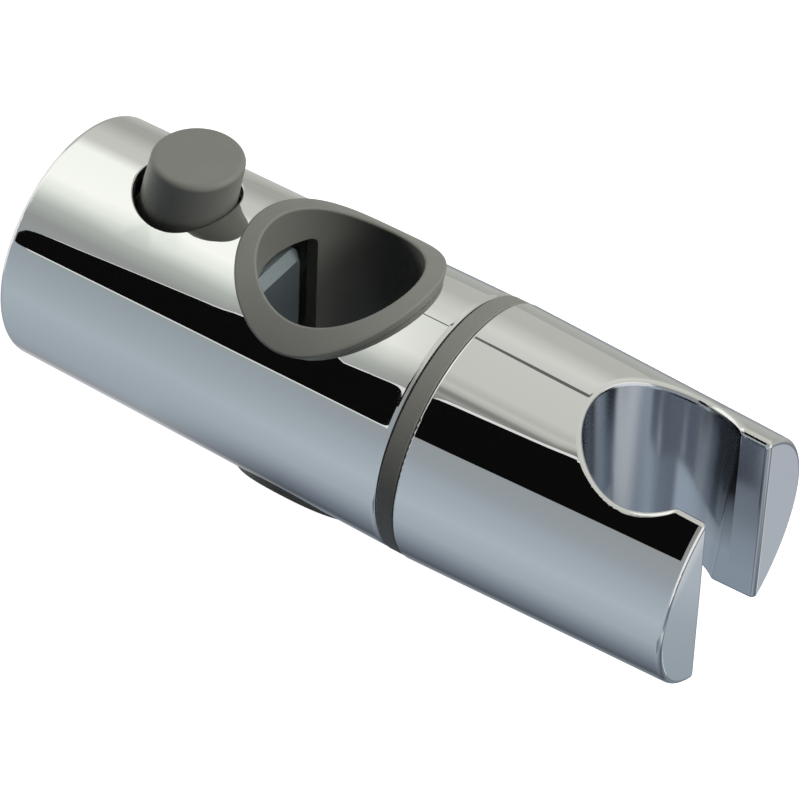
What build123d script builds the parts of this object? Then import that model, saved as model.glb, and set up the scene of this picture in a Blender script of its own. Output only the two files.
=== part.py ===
from build123d import *
import os
from math import asin, cos, degrees, radians, sin, sqrt, tan

# Shower rail slider, in millimetres.
# The origin is on the axis of the round body where the axis of the rail crosses it.
# +X runs along the body towards the handset holder, +Z along the rail, with the button on top.
# Everything stands as it does with no rail in the clamp and the button out.

os.makedirs("parts", exist_ok=True)

# Driving dimensions of the body
body_ring_radius = 20.05     # outside radius beside the friction ring
body_taper = 0.5             # radius lost from there to the closed end
body_wall = 2.5
bulkhead_thickness = 3.0
cap_room = 20.35             # from the axis of the button hole to the closed end
bolt_room = 7.2              # from the rail bush to the end beside the ring
body_ring_fillet = 0.9
body_end_fillet = 1.1

# Rail passage and its bush
rail_hole_radius = 11.9      # inside the bush
bush_wall = 1.5
bush_seat_clearance = 0.05
bush_flange_width = 1.35     # beyond the bush's wall, measured on the body
bush_flange_top = 1.5        # height of the upper flange above the body
bush_flange_bottom = 0.85    # height of the lower flange
bush_lip_fillet = 0.35
window_corner = 1.0
window_end_gap = 1.3         # from the clamp plate to the window's top and bottom

# Push button, whose axis leans towards the holder
button_lean = 12.6           # degrees from the vertical
button_room = 12.2           # from the bush flange to the axis of the button hole
button_hole_radius = 7.9
button_hole_fillet = 0.3
button_offset = 0.5          # button axis to hole axis where it leaves the body
button_proud = 6.95          # flat top above the body
button_top_radius = 6.75
button_side_radius = 7.0     # from the body's surface downwards
button_wall = 1.5
button_edge_fillet = 0.9
button_flange_radius = 8.9
button_flange_thickness = 1.2
button_travel = 3.5

# Clamp
plate_reach = 1.6            # how far the plate stands into the rail passage
plate_thickness = 2.7
plate_half_width = 6.1
plate_end_room = 7.05        # from the plate's ends to the outside of the body
plate_bevel = 1.4
block_half_width = 7.0
block_half_height = 6.0
block_end_gap = 2.2          # left behind the block when the button is fully in
ramp_angle = 45.0            # of the wedge faces
ramp_gap = 0.1
stem_length = 7.0            # in X
stem_width = 6.0             # in Y

# Springs
spring_wire = 0.7
button_spring_clearance = 0.15   # to the inside of the button cap
button_spring_turns = 4.0
clamp_spring_radius = 2.7
clamp_spring_turns = 3.5
spring_gap = 0.03

# Friction ring and holder
ring_width = 2.8
ring_proud = 0.05            # of the body
ring_clearance = 0.1
holder_proud = 0.1           # of the ring
holder_taper = 1.35          # radius lost to the open end
holder_wall = 2.6
holder_turn = 4.0            # degrees that the holder is turned about X
holder_ring_fillet = 0.35
cone_reach = 30.95           # from the ring to the axis of the handset cone
prong_reach = 12.15          # from that axis to the open end
cone_top_radius = 11.05      # at the crown of the holder
cone_half_angle = 2.4
cone_rim_fillet = 0.8
slot_half_width = 8.1
slot_lip_fillet = 1.4        # where the slot meets the cone

# Swivel
spigot_radius = 5.5
swivel_clearance = 0.05
swivel_bush_wall = 1.5
swivel_bush_flange = 0.8
swivel_flange_width = 2.0
bolt_radius = 2.48
bolt_head_radius = 4.4
bolt_head_height = 2.2
washer_thickness = 0.6
washer_radius = 7.4
disc_spring_height = 0.75
insert_radius = 3.6
hub_screw_radius = 1.4
o_ring_inset = 1.6           # from the holder's socket
hub_screw_inset = 4.0        # from the O-ring

# Sizes that follow
running_gap = 0.3
seat_gap = 0.03
bush_tube_radius = rail_hole_radius + bush_wall
bush_flange_radius = bush_tube_radius + bush_flange_width
button_hole_x = -bush_flange_radius - button_room
body_left = button_hole_x - cap_room
body_right = bush_tube_radius + bolt_room
body_end_radius = body_ring_radius - body_taper
body_slope = (body_ring_radius - body_end_radius) / (body_right - body_left)
bulkhead_left = body_right - bulkhead_thickness
ring_left = body_right + ring_clearance / 2
ring_right = ring_left + ring_width
ring_radius = body_ring_radius + ring_proud
holder_left = ring_right + ring_clearance
cone_x = holder_left + cone_reach
holder_right = cone_x + prong_reach
holder_ring_radius = ring_radius + holder_proud
holder_end_radius = holder_ring_radius - holder_taper
holder_slope = -holder_taper / (holder_right - holder_left)
socket_radius = holder_ring_radius - holder_wall
o_ring_radius = socket_radius - o_ring_inset
hub_screw_pitch = o_ring_radius - hub_screw_inset
lean = radians(button_lean)
ramp = radians(ramp_angle)
button_direction = (sin(lean), 0, cos(lean))
clamp_travel = button_travel * (sin(lean) + cos(lean) / tan(ramp))
plate_front = plate_reach - rail_hole_radius
plate_back = plate_front - plate_thickness
plate_half_height = body_ring_radius - plate_end_room
window_half_width = block_half_width + 2 * running_gap
window_half_height = plate_half_height + window_end_gap
swivel_bush_radius = spigot_radius + swivel_clearance + swivel_bush_wall
swivel_flange_radius = swivel_bush_radius + swivel_flange_width
ring_peg_pitch = (swivel_flange_radius + ring_radius) / 2
cut_margin = 1.0             # how far a cut runs past the face that it opens


def body_radius(x):
    """Outside radius of the body at x."""
    return body_end_radius + body_slope * (x - body_left)


def holder_radius(x):
    """Outside radius of the holder at x."""
    return holder_ring_radius + holder_slope * (x - holder_left)


def button_axis_x(z):
    """X of the leaning button axis at height z."""
    surface = body_radius(button_hole_x)
    return button_hole_x + button_offset + (z - surface) * tan(lean)


def button_plane(z):
    """Plane across the leaning button axis, where the axis is at height z."""
    return Plane(
        origin=(button_axis_x(z), 0, z),
        x_dir=(cos(lean), 0, -sin(lean)),
        z_dir=button_direction,
    )


def fit_fillet(radius, wall):
    """A fillet radius that its wall can take."""
    return min(radius, 0.45 * wall)


# Main body: a tapered tube with a bulkhead beside the friction ring
ring_peg_radius = 1.2
ring_peg_length = 1.8
ring_peg_clearance = 0.05
with BuildPart() as body_shell:
    with BuildSketch(Plane.XY):
        with BuildLine():
            Polyline(
                (body_left, body_end_radius - body_wall),
                (body_left, body_end_radius),
                (body_right, body_ring_radius),
                (body_right, swivel_bush_radius),
                (bulkhead_left, swivel_bush_radius),
                (bulkhead_left, body_radius(bulkhead_left) - body_wall),
                close=True,
            )
        make_face()
    revolve(axis=Axis.X)
    ends = body_shell.edges().filter_by(GeomType.CIRCLE).sort_by(SortBy.RADIUS)
    fillet(ends[-1], fit_fillet(body_ring_fillet, body_wall))
    outer_left = body_shell.edges().group_by(Axis.X)[0].sort_by(SortBy.RADIUS)[-1]
    fillet(outer_left, fit_fillet(body_end_fillet, body_wall))
    # rail passage, through the top and the bottom
    with BuildSketch(Plane.XY):
        Circle(bush_tube_radius + bush_seat_clearance)
    extrude(amount=2 * body_ring_radius, both=True, mode=Mode.SUBTRACT)
    # button hole, with a rounded edge
    with BuildSketch(Plane.XY):
        with Locations((button_hole_x, 0)):
            Circle(button_hole_radius)
    extrude(amount=2 * body_ring_radius, mode=Mode.SUBTRACT)
    button_hole = body_shell.faces().filter_by(GeomType.CYLINDER).sort_by(Axis.X)[0]
    hole_edge = button_hole.edges().filter_by(GeomType.LINE, reverse=True).sort_by(Axis.Z)[-1]
    fillet(hole_edge, fit_fillet(button_hole_fillet, body_wall))
    # peg holes of the friction ring
    with BuildSketch(Plane.YZ.offset(body_right)):
        with PolarLocations(ring_peg_pitch, 3):
            Circle(ring_peg_radius + ring_peg_clearance)
    extrude(amount=-ring_peg_length - ring_peg_clearance, mode=Mode.SUBTRACT)
body_shell.part.label = "body_shell"
export_step(body_shell.part, "parts/body_shell.step")

# End cap: plugs the closed end and carries the clamp spring
cap_thickness = 2.5
cap_skirt_length = 5.5
cap_skirt_wall = 1.6
spring_peg_length = 2.0
spring_peg_clearance = 0.25
clamp_spring_z = -2.2
cap_inner = body_left + cap_thickness
cap_radius = body_end_radius - body_wall - seat_gap
with BuildPart() as end_cap:
    with BuildSketch(Plane.YZ.offset(body_left)):
        Circle(cap_radius)
    extrude(amount=cap_thickness)
    with BuildSketch(Plane.YZ.offset(cap_inner)):
        Circle(cap_radius)
        Circle(cap_radius - cap_skirt_wall, mode=Mode.SUBTRACT)
    extrude(amount=cap_skirt_length - cap_thickness)
    with BuildSketch(Plane.YZ.offset(cap_inner)):
        with Locations((0, clamp_spring_z)):
            Circle(clamp_spring_radius - spring_wire / 2 - spring_peg_clearance)
    extrude(amount=spring_peg_length)
    rim = end_cap.edges().group_by(Axis.X)[0]
    fillet(rim, fit_fillet(body_end_fillet, cap_skirt_wall))
end_cap.part.label = "end_cap"
export_step(end_cap.part, "parts/end_cap.step")


def plug_under_surface(radius, rise):
    """Upright round plug that ends this much above the tapered surface of the body."""
    reach = radius + cut_margin
    with BuildPart() as plug:
        with BuildSketch(Plane.XY):
            with BuildLine():
                Polyline(
                    (-reach, 0),
                    (reach, 0),
                    (reach, body_radius(reach) + rise),
                    (-reach, body_radius(-reach) + rise),
                    close=True,
                )
            make_face()
        revolve(axis=Axis.X)
        with BuildSketch(Plane.XY):
            Circle(radius)
        extrude(amount=2 * body_ring_radius, mode=Mode.INTERSECT)
    return plug.part


def rail_bush(flange_height):
    """Upper half of the rail bush, whose flange wraps the body and has square edges."""
    flange_seat = plug_under_surface(bush_flange_radius, seat_gap).faces().filter_by(GeomType.CONE)[0]
    with BuildPart() as bush:
        thicken(flange_seat, amount=flange_height)
        add(plug_under_surface(bush_tube_radius, flange_height / 2))
        with BuildSketch(Plane.XY):
            Circle(rail_hole_radius)
        extrude(amount=2 * body_ring_radius, mode=Mode.SUBTRACT)
        top = bush.faces().filter_by(GeomType.CONE).sort_by(Axis.Z)[-1]
        fillet(top.edges(), fit_fillet(bush_lip_fillet, flange_height))
        # window for the clamp plate
        with BuildSketch(Plane.YZ.offset(-bush_tube_radius - cut_margin)):
            RectangleRounded(2 * window_half_width, 2 * window_half_height, window_corner)
        extrude(amount=bush_tube_radius, mode=Mode.SUBTRACT)
    return bush.part


# The two halves of the rail bush meet inside the body
with BuildPart() as rail_bush_upper:
    add(rail_bush(bush_flange_top))
rail_bush_upper.part.label = "rail_bush_upper"
export_step(rail_bush_upper.part, "parts/rail_bush_upper.step")

with BuildPart() as rail_bush_lower:
    mirror(rail_bush(bush_flange_bottom), about=Plane.XY)
rail_bush_lower.part.label = "rail_bush_lower"
export_step(rail_bush_lower.part, "parts/rail_bush_lower.step")

# Clamp guide: a moulded channel for the clamp block, with a leaning seat for the button spring
guide_end_gap = 0.6          # to the plate when it is fully back
guide_left = body_left + cap_skirt_length + 3 * guide_end_gap
guide_right = plate_back - clamp_travel - guide_end_gap
guide_wall = 2.0
guide_roof = 2.6
guide_flange_thickness = 2.0
channel_half_width = block_half_width + running_gap
channel_half_height = block_half_height + running_gap
guide_half_height = channel_half_height + guide_roof
spring_seat_height = 1.5     # above the roof of the guide
spring_seat_z = guide_half_height + spring_seat_height
spring_seat_radius = button_top_radius - button_wall - running_gap / 2
spring_seat = button_plane(spring_seat_z)
with BuildPart() as clamp_guide:
    with BuildSketch(Plane.YZ.offset(guide_left)):
        Rectangle(2 * (channel_half_width + guide_wall), 2 * guide_half_height)
    extrude(amount=guide_right - guide_left)
    for flange_x in (guide_left, guide_right - guide_flange_thickness):
        with BuildSketch(Plane.YZ.offset(flange_x)):
            Circle(body_radius(flange_x) - body_wall - seat_gap)
            with Locations((0, guide_half_height)):
                Rectangle(3 * body_ring_radius, body_ring_radius, align=(Align.CENTER, Align.MIN),
                          mode=Mode.SUBTRACT)
        extrude(amount=guide_flange_thickness)
    with BuildSketch(spring_seat):
        Circle(spring_seat_radius)
    extrude(amount=-spring_seat_z + channel_half_height)
    # channel, and the slot that the button stem passes through
    with BuildSketch(Plane.YZ.offset(guide_left)):
        Rectangle(2 * channel_half_width, 2 * channel_half_height)
    extrude(amount=guide_right - guide_left, mode=Mode.SUBTRACT)
    with BuildSketch(spring_seat):
        Rectangle(stem_length + 2 * running_gap, stem_width + 2 * running_gap)
    extrude(amount=-spring_seat_z, mode=Mode.SUBTRACT)
clamp_guide.part.label = "clamp_guide"
export_step(clamp_guide.part, "parts/clamp_guide.step")

# Button cap: leans, but its top and its retaining flange are level
body_at_button = body_radius(button_hole_x)
button_top = body_at_button + button_proud
inside_at_flange = sqrt((body_at_button - body_wall) ** 2 - button_flange_radius ** 2)
flange_top = inside_at_flange - running_gap
flange_bottom = flange_top - button_flange_thickness
ceiling_z = button_top - button_wall - button_top_radius * sin(lean) / 2
side_draft = degrees(asin((button_side_radius - button_top_radius) / (button_top - body_at_button)))
with BuildPart() as button_cap:
    with BuildSketch(button_plane(flange_bottom - button_wall)):
        Circle(button_side_radius)
    extrude(amount=(body_at_button - flange_bottom + button_wall) / cos(lean))
    with BuildSketch(button_plane(body_at_button)):
        Circle(button_side_radius)
    extrude(amount=1.3 * (button_top - body_at_button), taper=side_draft)
    split(bisect_by=Plane.XY.offset(button_top), keep=Keep.BOTTOM)
    split(bisect_by=Plane.XY.offset(flange_bottom), keep=Keep.TOP)
    fillet(button_cap.faces().sort_by(Axis.Z)[-1].edges(), fit_fillet(button_edge_fillet, 2 * button_wall))
    flange_middle = button_axis_x((flange_top + flange_bottom) / 2)
    with BuildSketch(Plane.XY.offset(flange_bottom)):
        with Locations((flange_middle, 0)):
            Circle(button_flange_radius)
    extrude(amount=button_flange_thickness)
    with BuildSketch(button_plane(ceiling_z)):
        Circle(button_top_radius - button_wall)
    extrude(amount=-2 * (ceiling_z - flange_bottom), mode=Mode.SUBTRACT)
button_cap.part.label = "button_cap"
export_step(button_cap.part, "parts/button_cap.step")

# Button stem: its head fills the cap, its foot ends in the wedge face
stem_head_thickness = 1.0
stem_head_clearance = 0.05
stem_corner = 1.2
ramp_offset = 2.8            # from the button axis to the middle of the wedge face
ramp_z = 3.0
ramp_x = button_axis_x(ramp_z) - ramp_offset
stem_tip_gap = 1.1           # left under the stem when the button is fully in
stem_tip_z = stem_tip_gap + button_travel * cos(lean) - channel_half_height
ramp_normal = (sin(ramp), 0, cos(ramp))
with BuildPart() as button_stem:
    with BuildSketch(button_plane(ceiling_z)):
        Circle(button_top_radius - button_wall - stem_head_clearance)
    extrude(amount=-stem_head_thickness)
    with BuildSketch(button_plane(ceiling_z)):
        RectangleRounded(stem_length, stem_width, stem_corner)
    extrude(amount=-2 * (ceiling_z - stem_tip_z))
    split(bisect_by=Plane(origin=(ramp_x, 0, ramp_z), z_dir=ramp_normal), keep=Keep.TOP)
    split(bisect_by=Plane.XY.offset(stem_tip_z), keep=Keep.TOP)
button_stem.part.label = "button_stem"
export_step(button_stem.part, "parts/button_stem.step")


def coil_spring(start, direction, length, radius, turns):
    """Round wire spring with its ends on two parallel seats."""
    lift = length - spring_wire - 2 * spring_gap
    axis = Vector(*direction).normalized()
    first = Vector(*start) + axis * (spring_wire / 2 + spring_gap)
    with BuildPart() as spring:
        with BuildLine() as coil:
            Helix(pitch=lift / turns, height=lift, radius=radius, center=first, direction=axis)
        with BuildSketch(Plane(origin=coil.line @ 0, z_dir=coil.line % 0)):
            Circle(spring_wire / 2)
        sweep(path=coil.line, is_frenet=True)
    return spring.part


# Button spring, between the guide's seat and the stem's head
button_spring_top = ceiling_z - stem_head_thickness * cos(lean)
button_spring_length = (button_spring_top - spring_seat_z) / cos(lean)
button_spring_radius = button_top_radius - button_wall - spring_wire / 2 - button_spring_clearance
with BuildPart() as button_spring:
    add(coil_spring(spring_seat.origin, button_direction, button_spring_length,
                    button_spring_radius, button_spring_turns))
button_spring.part.label = "button_spring"
export_step(button_spring.part, "parts/button_spring.step")

# Clamp block: slides in the guide, with a pocket whose back wall is the other wedge face
block_back = cap_inner + clamp_travel + block_end_gap
pocket_wall = 5.5            # between the pocket and the plate
pocket_right = plate_back - pocket_wall
spring_pocket_depth = 3.4
spring_pocket_clearance = 0.25
block_edge = 0.6
pin_radius = 2.0
pin_length = 2.5
pin_clearance = 0.03


def ramp_face_x(z):
    """X of the block's wedge face at height z."""
    return ramp_x - (ramp_gap + (z - ramp_z) * cos(ramp)) / sin(ramp)


with BuildPart() as clamp_block:
    with BuildSketch(Plane.YZ.offset(block_back)):
        RectangleRounded(2 * block_half_width, 2 * block_half_height, block_edge)
    extrude(amount=plate_back - block_back)
    with BuildSketch(Plane.XZ):
        with BuildLine():
            Polyline(
                (ramp_face_x(block_half_height), block_half_height),
                (pocket_right, block_half_height),
                (pocket_right, -block_half_height),
                (ramp_face_x(-block_half_height), -block_half_height),
                close=True,
            )
        make_face()
    extrude(amount=stem_width / 2 + 2 * running_gap, both=True, mode=Mode.SUBTRACT)
    # seat of the clamp spring
    with BuildSketch(Plane.YZ.offset(block_back)):
        with Locations((0, clamp_spring_z)):
            Circle(clamp_spring_radius + spring_wire / 2 + spring_pocket_clearance)
    extrude(amount=spring_pocket_depth, mode=Mode.SUBTRACT)
    # holes for the pins of the clamp plate
    with BuildSketch(Plane.YZ.offset(plate_back)):
        with GridLocations(0, block_half_height, 1, 2):
            Circle(pin_radius / 2 + pin_clearance)
    extrude(amount=-pin_length - pin_clearance, mode=Mode.SUBTRACT)
clamp_block.part.label = "clamp_block"
export_step(clamp_block.part, "parts/clamp_block.step")

# Clamp plate: stands in the window of the bush and grips the rail
plate_corner = 2.4
with BuildPart() as clamp_plate:
    with BuildSketch(Plane.YZ.offset(plate_back)):
        RectangleRounded(2 * plate_half_width, 2 * plate_half_height, plate_corner)
    extrude(amount=plate_thickness)
    chamfer(clamp_plate.faces().sort_by(Axis.X)[-1].edges(), min(plate_bevel, 0.6 * plate_thickness))
    with BuildSketch(Plane.YZ.offset(plate_back)):
        with GridLocations(0, block_half_height, 1, 2):
            Circle(pin_radius / 2)
    extrude(amount=-pin_length)
clamp_plate.part.label = "clamp_plate"
export_step(clamp_plate.part, "parts/clamp_plate.step")

# Clamp spring, between the end cap and the block
clamp_spring_length = block_back + spring_pocket_depth - cap_inner
with BuildPart() as clamp_spring:
    add(coil_spring((cap_inner, 0, clamp_spring_z), (1, 0, 0), clamp_spring_length,
                    clamp_spring_radius, clamp_spring_turns))
clamp_spring.part.label = "clamp_spring"
export_step(clamp_spring.part, "parts/clamp_spring.step")

# Plain bush that the spigot turns in, flanged on the holder's side
with BuildPart() as swivel_bush:
    with BuildSketch(Plane.YZ.offset(bulkhead_left)):
        Circle(swivel_bush_radius)
    extrude(amount=bulkhead_thickness)
    with BuildSketch(Plane.YZ.offset(body_right)):
        Circle(swivel_flange_radius)
    extrude(amount=swivel_bush_flange)
    with BuildSketch(Plane.YZ.offset(bulkhead_left)):
        Circle(spigot_radius + swivel_clearance)
    extrude(amount=bulkhead_thickness + swivel_bush_flange, mode=Mode.SUBTRACT)
swivel_bush.part.label = "swivel_bush"
export_step(swivel_bush.part, "parts/swivel_bush.step")

# Friction ring: keyed to the bulkhead by three pegs
ring_edge = 0.15
with BuildPart() as friction_ring:
    with BuildSketch(Plane.YZ.offset(ring_left)):
        Circle(ring_radius)
        Circle(swivel_flange_radius + running_gap, mode=Mode.SUBTRACT)
    extrude(amount=ring_width)
    rims = friction_ring.edges().filter_by(GeomType.CIRCLE).sort_by(SortBy.RADIUS)[-2:]
    chamfer(rims, fit_fillet(ring_edge, ring_width))
    with BuildSketch(Plane.YZ.offset(ring_left)):
        with PolarLocations(ring_peg_pitch, 3):
            Circle(ring_peg_radius)
    extrude(amount=-ring_peg_length)
friction_ring.part.label = "friction_ring"
export_step(friction_ring.part, "parts/friction_ring.step")

# Holder: everything about the handset cone stands in a plane turned by holder_turn
turn = radians(holder_turn)
hub_thickness = 3.4
hub_right = holder_left + hub_thickness
cone_wall = 2.6
screw_boss_wall = 1.6
screw_hole_clearance = 0.02
hub_screw_length = 10.0
cone_plane = Plane(origin=(cone_x, 0, 0), x_dir=(1, 0, 0), z_dir=(0, -sin(turn), cos(turn)))
cone_crown = holder_radius(cone_x)
screw_plane = Plane(origin=(hub_right, 0, 0), x_dir=(0, cos(turn), sin(turn)), z_dir=(1, 0, 0))


def cone_radius(height):
    """Radius of the handset cone at this height above the axis of the body."""
    return cone_top_radius + (height - cone_crown) * tan(radians(cone_half_angle))


with BuildPart() as holder_core:
    # the hollow behind the hub, left out round the cone and the two screw bosses
    with BuildSketch(Plane.XY):
        with BuildLine():
            Polyline(
                (hub_right, 0),
                (hub_right, holder_radius(hub_right) - holder_wall - seat_gap),
                (cone_x, holder_radius(cone_x) - holder_wall - seat_gap),
                (cone_x, 0),
                close=True,
            )
        make_face()
    revolve(axis=Axis.X)
    with BuildSketch(cone_plane):
        Circle(cone_top_radius + cone_wall)
    extrude(amount=holder_ring_radius, both=True, mode=Mode.SUBTRACT)
    with BuildSketch(screw_plane):
        with GridLocations(0, 2 * hub_screw_pitch, 1, 2):
            Circle(hub_screw_radius + screw_boss_wall)
    extrude(amount=cone_x - hub_right, mode=Mode.SUBTRACT)

with BuildPart() as handset_space:
    # the handset's cone and the hose slot, joined by rounded lips
    with BuildSketch(cone_plane.offset(cone_crown + cut_margin)):
        Circle(cone_radius(cone_crown + cut_margin))
    extrude(amount=-2 * (cone_crown + cut_margin), taper=cone_half_angle)
    with BuildSketch(cone_plane):
        Rectangle(holder_right - cone_x + cut_margin, 2 * slot_half_width, align=(Align.MIN, Align.CENTER))
    extrude(amount=cone_crown + cut_margin, both=True)
    lips = handset_space.edges().filter_by(GeomType.HYPERBOLA)
    fillet(lips, fit_fillet(slot_lip_fillet, slot_half_width))

with BuildPart() as holder_head:
    with BuildSketch(Plane.XY):
        with BuildLine():
            Polyline(
                (holder_left, socket_radius),
                (holder_left, holder_ring_radius),
                (holder_right, holder_end_radius),
                (holder_right, 0),
                (hub_right, 0),
                (hub_right, socket_radius),
                close=True,
            )
        make_face()
    revolve(axis=Axis.X)
    ring_edges = holder_head.edges().group_by(Axis.X)[0].sort_by(SortBy.RADIUS)
    fillet(ring_edges[-1], fit_fillet(holder_ring_fillet, holder_wall))
    add(holder_core.part, mode=Mode.SUBTRACT)
    # screw holes in the bosses
    with BuildSketch(screw_plane):
        with GridLocations(0, 2 * hub_screw_pitch, 1, 2):
            Circle(hub_screw_radius + screw_hole_clearance)
    extrude(amount=hub_screw_length - hub_thickness, mode=Mode.SUBTRACT)
    add(handset_space.part, mode=Mode.SUBTRACT)
    # rounded edges of the cone seat, the slot and the two prongs
    outside = holder_head.faces().filter_by(GeomType.CONE).sort_by(SortBy.AREA)[-1]
    rims = outside.edges().filter_by(GeomType.LINE, reverse=True)
    prong_ends = holder_head.faces().group_by(Axis.X)[-1]
    slot_corners = prong_ends.edges().filter_by(GeomType.LINE)
    far_rims = rims.filter_by(lambda rim: rim.center().X > holder_left + holder_wall)
    fillet(far_rims + slot_corners, fit_fillet(cone_rim_fillet, cone_wall))
holder_head.part.label = "holder_head"
export_step(holder_head.part, "parts/holder_head.step")

# Hub: closes the holder and turns on its spigot in the body's bush
spigot_end_gap = 0.25
hub_boss_length = 5.0
hub_boss_radius = 6.0
insert_length = 8.5
insert_clearance = 0.01
bolt_clearance = 0.15
screw_head_radius = 2.6
screw_head_height = 1.8
screw_recess_depth = 2.0
screw_shank_clearance = 0.1
o_ring_section = 0.75
hub_edge = 0.3
spigot_left = bulkhead_left + spigot_end_gap
hub_boss_right = hub_right + hub_boss_length
insert_left = hub_boss_right - insert_length
with BuildPart() as holder_hub:
    with BuildSketch(Plane.YZ.offset(holder_left)):
        Circle(socket_radius - seat_gap)
    extrude(amount=hub_thickness)
    with BuildSketch(Plane.YZ.offset(spigot_left)):
        Circle(spigot_radius)
    extrude(amount=holder_left - spigot_left)
    spigot_edge = holder_hub.edges().group_by(Axis.X)[0]
    chamfer(spigot_edge, fit_fillet(hub_edge, spigot_radius - insert_radius))
    with BuildSketch(Plane.YZ.offset(hub_right)):
        Circle(hub_boss_radius)
    extrude(amount=hub_boss_length)
    # bolt hole, and the bore of the threaded insert
    with BuildSketch(Plane.YZ.offset(spigot_left)):
        Circle(bolt_radius + bolt_clearance)
    extrude(amount=hub_boss_right - spigot_left, mode=Mode.SUBTRACT)
    with BuildSketch(Plane.YZ.offset(insert_left)):
        Circle(insert_radius + insert_clearance)
    extrude(amount=insert_length, mode=Mode.SUBTRACT)
    # recessed screw holes
    with BuildSketch(screw_plane.offset(-hub_thickness)):
        with GridLocations(0, 2 * hub_screw_pitch, 1, 2):
            Circle(screw_head_radius + screw_shank_clearance)
    extrude(amount=screw_recess_depth, mode=Mode.SUBTRACT)
    with BuildSketch(screw_plane.offset(-hub_thickness)):
        with GridLocations(0, 2 * hub_screw_pitch, 1, 2):
            Circle(hub_screw_radius + screw_shank_clearance)
    extrude(amount=hub_thickness, mode=Mode.SUBTRACT)
    # groove of the friction ring's O-ring
    with BuildSketch(Plane.YZ.offset(holder_left)):
        Circle(o_ring_radius + o_ring_section + seat_gap)
        Circle(o_ring_radius - o_ring_section - seat_gap, mode=Mode.SUBTRACT)
    extrude(amount=2 * o_ring_section - ring_clearance + seat_gap, mode=Mode.SUBTRACT)
holder_hub.part.label = "holder_hub"
export_step(holder_hub.part, "parts/holder_hub.step")

# O-ring that drags on the friction ring and holds the handset where it is put
with BuildPart() as friction_o_ring:
    with BuildSketch(Plane.XY):
        with Locations((ring_right + seat_gap / 2 + o_ring_section, o_ring_radius)):
            Circle(o_ring_section)
    revolve(axis=Axis.X)
friction_o_ring.part.label = "friction_o_ring"
export_step(friction_o_ring.part, "parts/friction_o_ring.step")

# Two screws that hold the hub in the holder
screw_head_left = holder_left + screw_recess_depth - screw_head_height
for name, side in (("hub_screw_upper", 1), ("hub_screw_lower", -1)):
    seat = screw_plane.offset(screw_head_left - hub_right)
    with BuildPart() as hub_screw:
        with BuildSketch(seat):
            with Locations((0, side * hub_screw_pitch)):
                Circle(screw_head_radius)
                RegularPolygon(screw_head_radius / 2, 6, mode=Mode.SUBTRACT)
        extrude(amount=screw_head_height)
        with BuildSketch(seat.offset(screw_head_height / 2)):
            with Locations((0, side * hub_screw_pitch)):
                Circle(hub_screw_radius)
        extrude(amount=hub_screw_length - screw_recess_depth)
    hub_screw.part.label = name
    export_step(hub_screw.part, f"parts/{name}.step")

# Brass insert that the pivot bolt screws into
insert_groove = 0.4
insert_groove_length = 1.7
with BuildPart() as thread_insert:
    with BuildSketch(Plane.YZ.offset(insert_left)):
        Circle(insert_radius)
        Circle(bolt_radius + insert_clearance, mode=Mode.SUBTRACT)
    extrude(amount=insert_length)
    with BuildSketch(Plane.YZ.offset(insert_left + insert_length / 2 - insert_groove_length / 2)):
        Circle(insert_radius + insert_groove)
        Circle(insert_radius - insert_groove, mode=Mode.SUBTRACT)
    extrude(amount=insert_groove_length, mode=Mode.SUBTRACT)
thread_insert.part.label = "thread_insert"
export_step(thread_insert.part, "parts/thread_insert.step")

# Disc spring under the washer keeps the swivel tight
disc_spring_right = bulkhead_left - seat_gap
disc_spring_left = disc_spring_right - disc_spring_height
disc_spring_wall = 0.35
disc_spring_inner = spigot_radius + running_gap
with BuildPart() as disc_spring:
    with BuildSketch(Plane.XY):
        with BuildLine():
            Polyline(
                (disc_spring_left, disc_spring_inner),
                (disc_spring_left + disc_spring_wall, disc_spring_inner),
                (disc_spring_right, washer_radius),
                (disc_spring_right - disc_spring_wall, washer_radius),
                close=True,
            )
        make_face()
    revolve(axis=Axis.X)
disc_spring.part.label = "disc_spring"
export_step(disc_spring.part, "parts/disc_spring.step")

washer_left = disc_spring_left - seat_gap - washer_thickness
with BuildPart() as pivot_washer:
    with BuildSketch(Plane.YZ.offset(washer_left)):
        Circle(washer_radius)
        Circle(bolt_radius + bolt_clearance, mode=Mode.SUBTRACT)
    extrude(amount=washer_thickness)
pivot_washer.part.label = "pivot_washer"
export_step(pivot_washer.part, "parts/pivot_washer.step")

# Pivot bolt: its head is reached through the rail hole
bolt_head_left = washer_left - seat_gap - bolt_head_height
bolt_tip_gap = 0.5
socket_across = 3.0
socket_depth = 1.3
with BuildPart() as pivot_bolt:
    with BuildSketch(Plane.YZ.offset(bolt_head_left)):
        Circle(bolt_head_radius)
    extrude(amount=bolt_head_height)
    fillet(pivot_bolt.edges().group_by(Axis.X)[0], 0.4 * socket_depth)
    with BuildSketch(Plane.YZ.offset(bolt_head_left)):
        RegularPolygon(socket_across / 2, 6, major_radius=False)
    extrude(amount=socket_depth, mode=Mode.SUBTRACT)
    with BuildSketch(Plane.YZ.offset(bolt_head_left + bolt_head_height)):
        Circle(bolt_radius)
    extrude(amount=hub_boss_right - bolt_tip_gap - bolt_head_left - bolt_head_height)
pivot_bolt.part.label = "pivot_bolt"
export_step(pivot_bolt.part, "parts/pivot_bolt.step")
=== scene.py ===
import math

import bpy
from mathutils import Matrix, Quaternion, Vector


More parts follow.
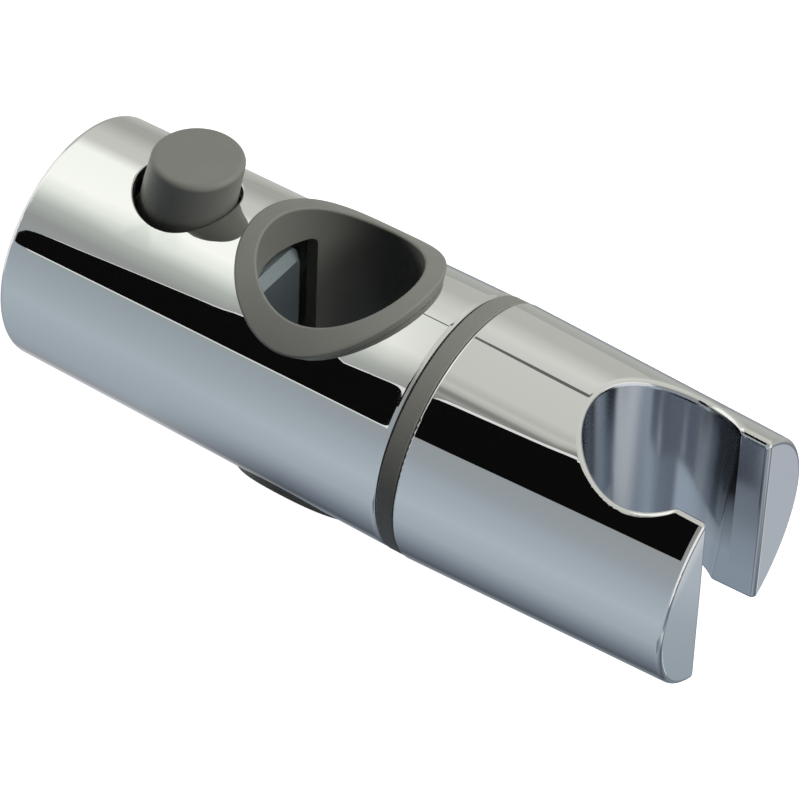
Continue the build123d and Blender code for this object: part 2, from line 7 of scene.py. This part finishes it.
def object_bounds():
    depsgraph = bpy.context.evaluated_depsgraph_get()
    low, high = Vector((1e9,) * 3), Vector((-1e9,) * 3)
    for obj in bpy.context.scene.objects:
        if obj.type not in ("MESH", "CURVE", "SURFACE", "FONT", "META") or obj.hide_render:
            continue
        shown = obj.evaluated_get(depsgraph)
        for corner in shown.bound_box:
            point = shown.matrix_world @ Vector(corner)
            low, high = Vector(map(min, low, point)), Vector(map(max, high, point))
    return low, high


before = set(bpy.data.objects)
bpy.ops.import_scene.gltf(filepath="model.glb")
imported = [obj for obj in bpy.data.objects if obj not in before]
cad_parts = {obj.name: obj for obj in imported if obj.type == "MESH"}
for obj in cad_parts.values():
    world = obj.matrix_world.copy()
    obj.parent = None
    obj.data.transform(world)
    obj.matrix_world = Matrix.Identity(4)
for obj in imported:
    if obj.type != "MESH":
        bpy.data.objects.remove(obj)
cad_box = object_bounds()

# Photograph: a product picture on white, taken from above the button side.
CAMERA_AIM = Vector((0.0097, 0.0022, -0.0034))
CAMERA_DISTANCE = 0.5271
CAMERA_AZIMUTH = 32.33       # degrees from -Y towards +X
CAMERA_ELEVATION = 44.18
CAMERA_ROLL = 3.0
CAMERA_LENS = 163.34
CAMERA_SENSOR = 36.0

# Light tent: an open tube of cloth round the X axis, with black flags and graded cards inside it.
TENT_RADIUS = 0.35
TENT_LENGTH = 1.4
PANEL_BLEND = (-0.128, -0.170)   # X between which the tent's cloth gives way to the white panel
PANEL_SLANT = -0.06              # share of the height that is added to X there, so that the line leans
CARD_GAP = 0.01                  # between the cloth and the cards that lie on it
TABLE_EDGE_GAP = 0.012           # the same for the card that lies over the table's own card
FLAG_RADIUS = 0.28
EDGE_GAP = 0.006                 # from a flag to the brighter card behind it
SEAM_GAP = 0.03                  # from the flags' radius to the seam's
BODY_EDGE = (0.8, 1.3)           # degrees that the bright card reaches below and above the body's flag
HOLDER_EDGE = (6, 2.2)           # degrees that it reaches below and above the top of the holder's flag
CARD_ROWS = 12                   # faces across a bent card
CHROME_REFLECTANCE = 0.77        # share of light that bright chrome sends back: the tent and cards
                                 # glow by as much more, so their colours are those the chrome shows

FLOOR_SIZE = 6.0

# The handset's cone seat: centre along X, lean in degrees, radius of the mouth, half width of its slot.
CONE_SEAT = (0.0545, 4.0, 0.01112, 0.00815)
SEAT_SATIN = 0.13                # roughness that the seat has on top of the polished chrome's
SHADE_FADE = (0.004, -0.009)     # heights between which the bore's painted shades fade out, going down
CHROME = "#E4E5E3"
SEAT_TINT = "#CDD1D6"            # the chrome's colour inside the seat
# Painted shade: the share of the tint left, first by degrees round the bore from the slot, then by mm up the
# slot.
BORE_SHADE_SHARES = ((-180, 0.4), (-168, 0.3), (-150, 0.25), (-138, 1), (-52, 1), (46, 0.02), (60, 0.05),
               (70, 0.22), (78, 0.55), (86, 0.9), (95, 1), (174, 1), (180, 0.4))
SLOT_SHADE_SHARES = ((-19, 1), (-12, 1), (-5.7, 0.87), (0.7, 0.6), (7.5, 0.55), (12, 0.8), (16, 1), (19, 1))


def linear(code, alpha=1.0):
    """A colour written as sRGB hex, in the linear values that shaders take."""
    channels = [int(code[i:i + 2], 16) / 255 for i in (1, 3, 5)]
    curve = [c / 12.92 if c <= 0.04045 else ((c + 0.055) / 1.055) ** 2.4 for c in channels]
    return (*curve, alpha)


def add_node(tree, kind, settings=None, links=None):
    """Adds a node, sets its properties and sockets by name or number, and wires it."""
    made = tree.nodes.new(kind)
    for name, value in (settings or {}).items():
        if isinstance(name, int) or name in made.inputs:
            made.inputs[name].default_value = value
        else:
            setattr(made, name, value)
    for name, source in (links or {}).items():
        tree.links.new(source, made.inputs[name])
    return made


def new_material(name):
    """An empty node material and its tree."""
    material = bpy.data.materials.new(name)
    material.use_nodes = True
    material.node_tree.nodes.clear()
    return material, material.node_tree


def fill_ramp(ramp, stops):
    """Gives a colour ramp its stops, each a place from 0 to 1 and a linear colour."""
    elements = ramp.color_ramp.elements
    while len(elements) > 1:
        elements.remove(elements[-1])
    elements[0].position, elements[0].color = stops[0]
    for place, colour in stops[1:]:
        elements.new(place).color = colour


def seat_shade_ramp(tree, value, shares):
    """The seat's tint with painted shade, as bright as each share says, for a value from 0 (first share) to
    1 (last).
    """
    first, last = shares[0][0], shares[-1][0]
    ramp = add_node(tree, "ShaderNodeValToRGB", links={"Fac": value})
    stops = []
    for at, share in shares:
        colour = [share * channel for channel in linear(SEAT_TINT)[:3]]
        stops.append(((at - first) / (last - first), (*colour, 1.0)))
    fill_ramp(ramp, stops)
    return ramp.outputs["Color"]


# Bright chrome plating: electroplated nickel and chromium on a polished moulding, a clean mirror
# with only the faintest ripple left by the polishing wheel. The wheel doesn't reach into the
# handset's seat, so the plating is satin there and the reflections run into each other. Its colour
# there has painted shade, darker in the seat's upper recesses and most of all beside the slot.
def bright_chrome_plate(name, seat=None):
    """The seat, if any, is given as CONE_SEAT is."""
    material, tree = new_material(name)
    place = add_node(tree, "ShaderNodeTexCoord")
    ripple = add_node(tree, "ShaderNodeTexNoise",
                      {"Scale": 90.0, "Detail": 1.0, "Roughness": 0.4}, {"Vector": place.outputs["Object"]})
    polish = add_node(tree, "ShaderNodeTexNoise",
                      {"Scale": 900.0, "Detail": 3.0, "Roughness": 0.6}, {"Vector": place.outputs["Object"]})
    roughness = add_node(tree, "ShaderNodeMapRange",
                         {"From Min": 0.3, "From Max": 0.7, "To Min": 0.006, "To Max": 0.016},
                         {"Value": polish.outputs["Fac"]})
    colour = None
    if seat:
        centre, lean, mouth, half_slot = seat
        upright = add_node(tree, "ShaderNodeMapping",
                           {"vector_type": "TEXTURE", "Location": (centre, 0, 0),
                            "Rotation": (math.radians(lean), 0, 0)}, {"Vector": place.outputs["Object"]})
        flat = add_node(tree, "ShaderNodeVectorMath", {"operation": "MULTIPLY", 1: (1, 1, 0)},
                        {0: upright.outputs["Vector"]})
        reach = add_node(tree, "ShaderNodeVectorMath", {"operation": "LENGTH"}, {0: flat.outputs["Vector"]})
        in_bore = add_node(tree, "ShaderNodeMath", {"operation": "LESS_THAN", 1: mouth},
                           {0: reach.outputs["Value"]})
        axes = add_node(tree, "ShaderNodeSeparateXYZ", links={0: upright.outputs["Vector"]})
        aside = add_node(tree, "ShaderNodeMath", {"operation": "ABSOLUTE"}, {0: axes.outputs["Y"]})
        narrow = add_node(tree, "ShaderNodeMath", {"operation": "LESS_THAN", 1: half_slot},
                          {0: aside.outputs[0]})
        beyond = add_node(tree, "ShaderNodeMath", {"operation": "GREATER_THAN", 1: 0.0},
                          {0: axes.outputs["X"]})
        in_slot = add_node(tree, "ShaderNodeMath", {"operation": "MULTIPLY"},
                           {0: narrow.outputs[0], 1: beyond.outputs[0]})
        inside = add_node(tree, "ShaderNodeMath", {"operation": "MAXIMUM"},
                          {0: in_bore.outputs[0], 1: in_slot.outputs[0]})
        roughness = add_node(tree, "ShaderNodeMath", {"operation": "MULTIPLY_ADD", 1: SEAT_SATIN},
                             {0: inside.outputs[0], 2: roughness.outputs["Result"]})
        # Painted shade: the seat's colour darkens by place round the bore and up the slot's walls, and fades
        # out lower down.
        angle = add_node(tree, "ShaderNodeMath", {"operation": "ARCTAN2"},
                         {0: axes.outputs["Y"], 1: axes.outputs["X"]})
        turn = add_node(tree, "ShaderNodeMapRange", {"From Min": -math.pi, "From Max": math.pi},
                        {"Value": angle.outputs[0]})
        height = add_node(tree, "ShaderNodeMapRange",
                          {"From Min": SLOT_SHADE_SHARES[0][0] / 1000, "From Max": SLOT_SHADE_SHARES[-1][0] / 1000},
                          {"Value": axes.outputs["Z"]})
        low = add_node(tree, "ShaderNodeMapRange", {"From Min": SHADE_FADE[0], "From Max": SHADE_FADE[1]},
                       {"Value": axes.outputs["Z"]})
        bore = add_node(tree, "ShaderNodeMix", {"data_type": "RGBA", 7: linear(SEAT_TINT)},
                        {0: low.outputs["Result"], 6: seat_shade_ramp(tree, turn.outputs["Result"], BORE_SHADE_SHARES)})
        wall = add_node(tree, "ShaderNodeMix", {"data_type": "RGBA"},
                        {0: in_bore.outputs[0], 6: seat_shade_ramp(tree, height.outputs["Result"], SLOT_SHADE_SHARES),
                         7: bore.outputs[2]})
        colour = add_node(tree, "ShaderNodeMix", {"data_type": "RGBA", 6: linear(CHROME)},
                          {0: inside.outputs[0], 7: wall.outputs[2]})
    bump = add_node(tree, "ShaderNodeBump", {"Strength": 0.08, "Distance": 0.00002},
                    {"Height": ripple.outputs["Fac"]})
    shader = add_node(tree, "ShaderNodeBsdfPrincipled",
                      {"Base Color": linear(CHROME), "Metallic": 1.0},
                      {"Roughness": roughness.outputs[0], "Normal": bump.outputs["Normal"]})
    if colour:
        tree.links.new(colour.outputs[2], shader.inputs["Base Color"])
    add_node(tree, "ShaderNodeOutputMaterial", links={"Surface": shader.outputs["BSDF"]})
    return material


# Moulded plastic: injection-moulded acetal or nylon, or moulded rubber, with a fine spark-eroded
# grain that spreads the highlight, and a slight mottle in its colour from the melt's flow.
def moulded_plastic(name, colour, shade, grain_mm, roughness, grain_depth, sheen=0.5):
    """The colour wanders to the shade and back. The sheen is how strong the highlight is."""
    material, tree = new_material(name)
    place = add_node(tree, "ShaderNodeTexCoord")
    mottle = add_node(tree, "ShaderNodeTexNoise",
                      {"Scale": 220.0, "Detail": 3.0, "Roughness": 0.55},
                      {"Vector": place.outputs["Object"]})
    grain = add_node(tree, "ShaderNodeTexVoronoi",
                     {"Scale": 1000.0 / grain_mm}, {"Vector": place.outputs["Object"]})
    tint = add_node(tree, "ShaderNodeMix",
                    {"data_type": "RGBA", 6: linear(colour), 7: linear(shade)},
                    {0: mottle.outputs["Fac"]})
    spread = add_node(tree, "ShaderNodeMapRange",
                      {"From Min": 0.3, "From Max": 0.7,
                       "To Min": roughness - 0.05, "To Max": roughness + 0.05},
                      {"Value": mottle.outputs["Fac"]})
    bump = add_node(tree, "ShaderNodeBump", {"Strength": 0.5, "Distance": grain_depth},
                    {"Height": grain.outputs["Distance"]})
    shader = add_node(tree, "ShaderNodeBsdfPrincipled",
                      {"IOR": 1.48, "Specular IOR Level": sheen},
                      {"Base Color": tint.outputs[2], "Roughness": spread.outputs["Result"],
                       "Normal": bump.outputs["Normal"]})
    add_node(tree, "ShaderNodeOutputMaterial", links={"Surface": shader.outputs["BSDF"]})
    return material


# Worked metal: drawn, pressed or turned stock, with fine lines left by the tool along one direction.
# On the blasted plate they are faint.
def worked_metal(name, colour, shade, line_mm, roughness, stretch):
    """The stretch scales the lines' pattern along X, Y and Z, and is small along the lines."""
    material, tree = new_material(name)
    place = add_node(tree, "ShaderNodeTexCoord")
    lay = add_node(tree, "ShaderNodeMapping", {"Scale": stretch}, {"Vector": place.outputs["Object"]})
    lines = add_node(tree, "ShaderNodeTexNoise",
                     {"Scale": 1000.0 / line_mm, "Detail": 2.0}, {"Vector": lay.outputs["Vector"]})
    tint = add_node(tree, "ShaderNodeMix",
                    {"data_type": "RGBA", 6: linear(colour), 7: linear(shade)},
                    {0: lines.outputs["Fac"]})
    spread = add_node(tree, "ShaderNodeMapRange",
                      {"From Min": 0.3, "From Max": 0.7,
                       "To Min": roughness - 0.06, "To Max": roughness + 0.06},
                      {"Value": lines.outputs["Fac"]})
    bump = add_node(tree, "ShaderNodeBump", {"Strength": 0.3, "Distance": 0.00001},
                    {"Height": lines.outputs["Fac"]})
    shader = add_node(tree, "ShaderNodeBsdfPrincipled", {"Metallic": 1.0},
                      {"Base Color": tint.outputs[2], "Roughness": spread.outputs["Result"],
                       "Normal": bump.outputs["Normal"]})
    add_node(tree, "ShaderNodeOutputMaterial", links={"Surface": shader.outputs["BSDF"]})
    return material


finishes = {
    "chrome_plate": bright_chrome_plate("bright_chrome_plate"),
    "grey_plastic": moulded_plastic("grey_moulded_acetal", "#73736C", "#6D6D67",
                                    0.35, 0.40, 0.00001, 0.35),
    "dark_plastic": moulded_plastic("dark_moulded_nylon", "#3A3C3C", "#333535", 0.35, 0.5, 0.00001),
    "white_acetal": moulded_plastic("natural_white_acetal", "#D9D7CE", "#D2D0C6", 0.5, 0.38, 0.00001),
    "plate_metal": worked_metal("blasted_zinc_plate", "#D8E3E8", "#CCD8DE", 0.2, 0.7, (1.0, 0.15, 1.0)),
    "spring_steel": worked_metal("drawn_spring_steel", "#A9ABAC", "#9A9C9E", 0.15, 0.3, (1.0, 1.0, 0.2)),
    "brass_insert": worked_metal("turned_brass", "#C9A95C", "#BD9C50", 0.12, 0.28, (0.2, 1.0, 1.0)),
    "black_rubber": moulded_plastic("black_nitrile_rubber", "#1C1C1D", "#161617",
                                    0.4, 0.62, 0.00001, 0.35),
}
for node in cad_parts.values():
    for slot in node.material_slots:
        slot.material = finishes[slot.material.name.split(".")[0]]
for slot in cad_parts["holder_head"].material_slots:
    slot.material = bright_chrome_plate("bright_chrome_plate_with_satin_painted_shade_seat", CONE_SEAT)


# Light tent cloth: white cloth lit unevenly, as photographers light chrome, bright overhead and
# behind, dimmer and bluish in front, darkest below where it meets the table.
def tent_cloth():
    """Its glow follows the angle in degrees round the X axis, 0 at the front and 90 overhead."""
    material, tree = new_material("tent_cloth")
    place = add_node(tree, "ShaderNodeTexCoord")
    axes = add_node(tree, "ShaderNodeSeparateXYZ", links={0: place.outputs["Object"]})
    ahead = add_node(tree, "ShaderNodeMath", {"operation": "MULTIPLY", 1: -1.0}, {0: axes.outputs["Y"]})
    angle = add_node(tree, "ShaderNodeMath", {"operation": "ARCTAN2"},
                     {0: axes.outputs["Z"], 1: ahead.outputs[0]})
    turn = add_node(tree, "ShaderNodeMapRange", {"From Min": -math.pi, "From Max": math.pi},
                    {"Value": angle.outputs[0]})
    slant = add_node(tree, "ShaderNodeMath", {"operation": "MULTIPLY_ADD", 1: PANEL_SLANT},
                     {0: axes.outputs["Z"], 2: axes.outputs["X"]})
    along = add_node(tree, "ShaderNodeMapRange", {"From Min": PANEL_BLEND[0], "From Max": PANEL_BLEND[1]},
                     {"Value": slant.outputs[0]})
    glows = []
    for stops in (
        # over the middle and the holder's side
        ((-180, "#9D9E99"), (-160, "#A6A7A4"), (-141, "#686D78"), (-112, "#757B82"), (-99, "#4C5159"),
         (-80, "#6C747F"), (-51, "#9AA4AE"), (-27, "#A6B0B9"), (-2, "#99A3AC"), (10, "#9299A0"),
         (64, "#888884"), (84, "#BFC0BB"), (120, "#C2C3BE"), (135, "#CCCDC8"), (157, "#B0B0AB")),
        # the white panel over the closed end
        ((-180, "#9B9B96"), (-160, "#ACADA9"), (-112, "#ABAEB3"), (-99, "#8B8E94"), (-78, "#939DA6"),
         (-27, "#A2ACB5"), (10, "#939CA3"), (45, "#8F9190"), (59, "#ABB0AC"), (72, "#DEE2DC"),
         (84, "#F5F6F1"), (121, "#F1F3EE"), (133, "#C1C2BD"), (147, "#BEBFBA"), (169, "#9E9F9A")),
    ):
        ramp = add_node(tree, "ShaderNodeValToRGB", links={"Fac": turn.outputs["Result"]})
        fill_ramp(ramp, [((degrees + 180) / 360, linear(code)) for degrees, code in stops])
        glows.append(ramp)
    glow = add_node(tree, "ShaderNodeMix", {"data_type": "RGBA"},
                    {0: along.outputs["Result"], 6: glows[0].outputs["Color"], 7: glows[1].outputs["Color"]})
    light = add_node(tree, "ShaderNodeEmission", {"Strength": 1 / CHROME_REFLECTANCE},
                     {"Color": glow.outputs[2]})
    add_node(tree, "ShaderNodeOutputMaterial", links={"Surface": light.outputs["Emission"]})
    return material


def graded_card(name, axis, stops):
    """A card whose glow changes along an axis. A stop is a place in metres, a colour and how solid it is."""
    material, tree = new_material(name)
    first, last = stops[0][0], stops[-1][0]
    place = add_node(tree, "ShaderNodeTexCoord")
    axes = add_node(tree, "ShaderNodeSeparateXYZ", links={0: place.outputs["Object"]})
    share = add_node(tree, "ShaderNodeMapRange", {"From Min": first, "From Max": last},
                     {"Value": axes.outputs[axis]})
    ramp = add_node(tree, "ShaderNodeValToRGB", links={"Fac": share.outputs["Result"]})
    fill_ramp(ramp, [((at - first) / (last - first), linear(code, solid)) for at, code, solid in stops])
    light = add_node(tree, "ShaderNodeEmission", {"Strength": 1 / CHROME_REFLECTANCE},
                     {"Color": ramp.outputs["Color"]})
    clear = add_node(tree, "ShaderNodeBsdfTransparent")
    mixed = add_node(tree, "ShaderNodeMixShader",
                     links={0: ramp.outputs["Alpha"], 1: clear.outputs[0], 2: light.outputs[0]})
    add_node(tree, "ShaderNodeOutputMaterial", links={"Surface": mixed.outputs[0]})
    return material


def glowing_card(name, colour):
    """A card of even brightness, nearly black for a flag."""
    material, tree = new_material(name)
    light = add_node(tree, "ShaderNodeEmission",
                     {"Color": linear(colour), "Strength": 1 / CHROME_REFLECTANCE})
    add_node(tree, "ShaderNodeOutputMaterial", links={"Surface": light.outputs["Emission"]})
    return material


def only_in_reflections(thing, material):
    """The tent and its cards show in the part's reflections alone, and stay out of the picture."""
    thing.data.materials.append(material)
    thing.visible_camera = False
    thing.visible_diffuse = False
    thing.visible_shadow = False
    thing.visible_transmission = False


def bent_card(name, radius, outline, material):
    """A card bent round the X axis. Each point of the outline is X in mm, a lower and an upper angle."""
    bpy.ops.mesh.primitive_grid_add(x_subdivisions=len(outline) - 1, y_subdivisions=CARD_ROWS, size=1.0)
    card = bpy.context.object
    card.name = name
    for vertex in card.data.vertices:
        column = round((vertex.co.x + 0.5) * (len(outline) - 1))
        x, lower, upper = outline[column]
        angle = math.radians(lower + (vertex.co.y + 0.5) * (upper - lower))
        vertex.co = (x / 1000, -radius * math.cos(angle), radius * math.sin(angle))
    only_in_reflections(card, material)


bpy.ops.object.select_all(action="DESELECT")
bpy.ops.mesh.primitive_cylinder_add(vertices=128, radius=TENT_RADIUS, depth=TENT_LENGTH,
                                    end_fill_type="NOTHING", location=(0, 0, 0),
                                    rotation=(0, math.pi / 2, 0))
tent = bpy.context.object
tent.name = "light_tent"
bpy.ops.object.transform_apply(location=True, rotation=True, scale=True)
only_in_reflections(tent, tent_cloth())

black_card = glowing_card("black_card", "#0A0A0A")
bright_edge = glowing_card("bright_edge", "#D8D8D8")
grey_seam = glowing_card("grey_seam", "#5E5E5C")

# Two black flags in front, one for the body and one for the holder, with a brighter card behind each
# that shows as a line of light along its edge.
body_flag = [(-196.7, 19.8, 24.6), (-196.4, 18.5, 27.2), (-195.6, 17.8, 29.6), (-194.5, 17.6, 31.7),
             (-192, 17.7, 33.3), (-188, 17.9, 34.6), (-180, 18.3, 36.6), (-164, 19.1, 40.7),
             (-147, 20, 44.8), (-136, 20.3, 46.9), (-120, 21, 50), (-105, 21.6, 52.8),
             (-97, 21.9, 54.6), (-95, 22, 54.5), (-94, 22.2, 53.4), (-93.3, 22.6, 51.9),
             (-92.8, 23.2, 50.2), (-92.3, 24.3, 48.3), (-92, 25.6, 45.4), (-91.7, 29.5, 36)]
holder_flag = [(-66, 25.4, 53), (-64.5, 25.6, 57.6), (-62, 25.9, 59.2), (-56, 26.4, 60.4), (-41, 28, 63.3),
               (-22, 29.8, 67.2), (0, 31.8, 71.6), (40, 34.5, 79)]
bent_card("body_flag", FLAG_RADIUS, body_flag, black_card)
bent_card("holder_flag", FLAG_RADIUS, holder_flag, black_card)
body_edge = [(x, lower - BODY_EDGE[0], upper + BODY_EDGE[1]) for x, lower, upper in body_flag[1:-1]]
bent_card("body_flag_edge", FLAG_RADIUS + EDGE_GAP,
          [(-197.4, 19.2, 25.2), *body_edge, (-91.1, 29, 37)], bright_edge)
bent_card("holder_flag_edge", FLAG_RADIUS + EDGE_GAP,
          [(x, upper - HOLDER_EDGE[0], upper + HOLDER_EDGE[1]) for x, _, upper in holder_flag], bright_edge)

# The cloth's seam behind, a narrow grey strip that widens towards the holder.
bent_card("cloth_seam", FLAG_RADIUS + SEAM_GAP,
          [(-125, 119.3, 120.2), (-96, 119, 120.2), (-80, 118.7, 120.7), (-60, 118.2, 121.2),
           (60, 118, 121.4)], grey_seam)

# A darker fold in the cloth overhead, just in front of the top.
bent_card("cloth_fold", TENT_RADIUS - CARD_GAP, [(-85, 62, 79), (60, 61, 78)],
          graded_card("cloth_fold", "Z", [(0.3002, "#999A98", 0.0), (0.3050, "#969793", 1.0),
                                          (0.3100, "#80807C", 1.0), (0.3135, "#7B7C78", 1.0),
                                          (0.3172, "#8B8C88", 1.0), (0.3200, "#A8A9A4", 1.0),
                                          (0.3265, "#BBBCB7", 1.0), (0.3325, "#BFC0BB", 0.0)]))

# Paler cards low down beyond the holder's end: the table behind, the light along its edge, and the
# table far out. Then a darker card low in front.
bent_card("table_card", TENT_RADIUS - CARD_GAP, [(152, -138, -122), (225, -138, -122)],
          graded_card("table_card", "Z", [(-0.288, "#848E96", 1.0), (-0.268, "#929CA5", 1.0),
                                          (-0.262, "#A0A8B1", 1.0), (-0.228, "#A3A7B1", 1.0)]))
bent_card("table_edge_card", TENT_RADIUS - TABLE_EDGE_GAP, [(168, -138, -122), (220, -138, -122)],
          graded_card("table_edge_card", "X", [(0.1680, "#F0F3F4", 0.0), (0.1758, "#F0F3F4", 0.02),
                                               (0.1780, "#F0F3F4", 0.33), (0.1808, "#F0F3F4", 1.0),
                                               (0.200, "#F0F3F4", 1.0), (0.220, "#F0F3F4", 0.0)]))
bent_card("far_card", TENT_RADIUS - CARD_GAP, [(330, -108, -58), (460, -108, -58)],
          graded_card("far_card", "X", [(0.330, "#A4A9AE", 0.0), (0.395, "#BCC0C2", 1.0),
                                        (0.435, "#BCC0C2", 1.0), (0.460, "#8A9098", 0.0)]))
bent_card("front_low_card", TENT_RADIUS - CARD_GAP, [(60, -58.5, -43), (310, -58.5, -43)],
          graded_card("front_low_card", "X", [(0.060, "#666C76", 0.0), (0.090, "#666C76", 1.0),
                                              (0.190, "#6E7681", 1.0), (0.310, "#8C949C", 0.0)]))

# Floor: plain paper under the part, which sends a little light up to it. It glows to the camera
# alone, where it is pure white and so shows no shadow, like the photograph's ground.
floor_material, tree = new_material("pale_paper_floor")
path = add_node(tree, "ShaderNodeLightPath")
paper = add_node(tree, "ShaderNodeBsdfDiffuse", {"Color": linear("#8E8E8C")})
glow = add_node(tree, "ShaderNodeEmission", {"Color": (1, 1, 1, 1)},
                {"Strength": path.outputs["Is Camera Ray"]})
both = add_node(tree, "ShaderNodeAddShader", links={0: paper.outputs[0], 1: glow.outputs[0]})
add_node(tree, "ShaderNodeOutputMaterial", links={"Surface": both.outputs[0]})
bpy.ops.mesh.primitive_plane_add(size=FLOOR_SIZE, location=(0, 0, cad_box[0][2]))
floor = bpy.context.object
floor.name = "floor"
bpy.ops.object.transform_apply(location=True, rotation=True, scale=True)
floor.data.materials.append(floor_material)
floor.visible_glossy = False

# World: white to the camera and in reflections, and a weak cool fill for everything else.
world = bpy.data.worlds.new("studio")
bpy.context.scene.world = world
world.use_nodes = True
tree = world.node_tree
tree.nodes.clear()
path = add_node(tree, "ShaderNodeLightPath")
seen = add_node(tree, "ShaderNodeMath", {"operation": "MAXIMUM"},
                {0: path.outputs["Is Camera Ray"], 1: path.outputs["Is Glossy Ray"]})
fill = add_node(tree, "ShaderNodeBackground", {"Color": linear("#B4CCF4"), "Strength": 0.045})
white = add_node(tree, "ShaderNodeBackground", {"Color": (1, 1, 1, 1), "Strength": 1.0})
mixed = add_node(tree, "ShaderNodeMixShader",
                 links={0: seen.outputs[0], 1: fill.outputs[0], 2: white.outputs[0]})
add_node(tree, "ShaderNodeOutputWorld", links={"Surface": mixed.outputs[0]})


def add_softbox(name, place, size, energy):
    """A round soft lamp that looks at the frame's origin. It lights the plastics and the floor, and
    shows in no reflection."""
    bpy.ops.object.light_add(type="AREA", location=place)
    softbox = bpy.context.object
    softbox.name = name
    softbox.data.shape = "DISK"
    softbox.data.size = size
    softbox.data.energy = energy
    softbox.rotation_euler = Vector(place).to_track_quat("Z", "Y").to_euler()
    softbox.visible_glossy = False
    softbox.visible_camera = False


add_softbox("overhead_softbox", (0.28, 0.08, 0.70), 0.3, 4.7)
add_softbox("right_softbox", (0.34, 0.09, 0.24), 0.2, 1.0)
add_softbox("left_softbox", (-0.55, 0.06, 0.02), 0.3, 3.2)

# Camera: stands where the photograph's stood, rolled a little as that one was.
azimuth, elevation = math.radians(CAMERA_AZIMUTH), math.radians(CAMERA_ELEVATION)
towards = Vector((math.sin(azimuth) * math.cos(elevation), -math.cos(azimuth) * math.cos(elevation),
                  math.sin(elevation)))
camera = bpy.data.objects.new("camera", bpy.data.cameras.new("camera"))
bpy.context.scene.collection.objects.link(camera)
camera.data.lens = CAMERA_LENS
camera.data.sensor_width = CAMERA_SENSOR
camera.location = CAMERA_AIM + CAMERA_DISTANCE * towards
roll = Quaternion((0, 0, 1), math.radians(CAMERA_ROLL))
camera.rotation_euler = (towards.to_track_quat("Z", "Y") @ roll).to_euler()
bpy.context.scene.camera = camera
bpy.context.scene.view_settings.view_transform = "Standard"
